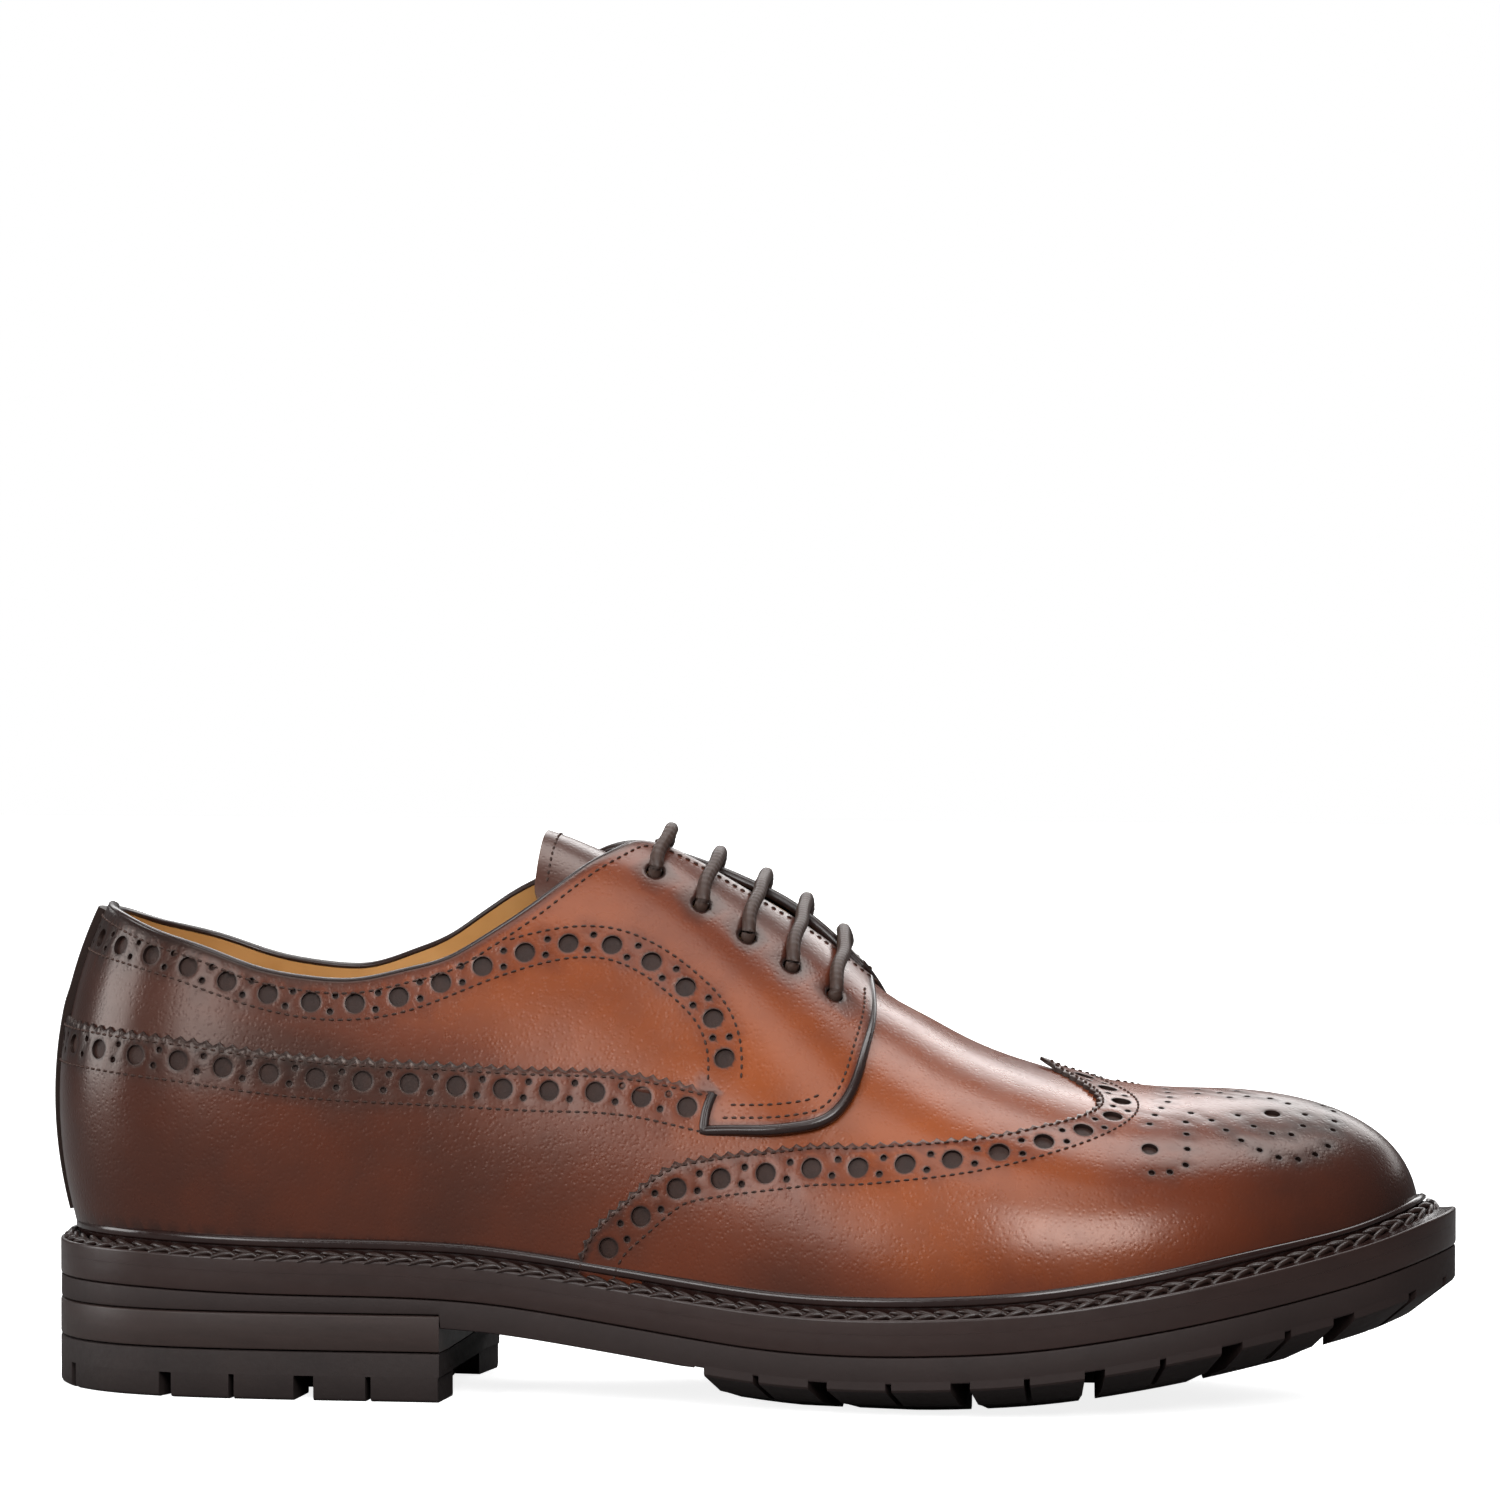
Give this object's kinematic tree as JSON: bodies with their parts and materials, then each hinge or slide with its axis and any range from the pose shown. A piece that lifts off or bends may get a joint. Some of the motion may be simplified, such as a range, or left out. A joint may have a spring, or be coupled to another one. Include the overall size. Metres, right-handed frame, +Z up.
{
  "type": "brogue derby shoe",
  "caption": "Laced low dress shoe for the right foot, with a winged toe cap, open quarters over a tongue, a storm welt and a thick lugged rubber sole and heel.",
  "frame": {"origin": "on the floor under the middle of the heel, at the heel's rest face", "axes": "+Z up, +X from the heel to the toe, +Y to the inner side of the foot"},
  "size_m": [0.3094, 0.1087, 0.1227],
  "materials": {
    "outsole_rubber": "matte dark brown rubber",
    "sole_edge": "burnished dark edge, semi-gloss",
    "welt": "dark polished welt",
    "insole_leather": "natural tan",
    "upper_leather": "polished burnished cognac calf",
    "tongue_leather": "polished brown calf",
    "lace": "round waxed cotton cord"
  },
  "bodies": {
    "root": {"outsole": "outsole_rubber", "heel_lift": "sole_edge", "heel_top_piece": "outsole_rubber", "midsole": "sole_edge", "welt": "welt", "insole": "insole_leather", "upper": "upper_leather", "tongue": "tongue_leather", "lace_bar_1": "lace", "lace_bar_2": "lace", "lace_bar_3": "lace", "lace_bar_4": "lace", "lace_bar_5": "lace"}
  },
  "joints": []
}
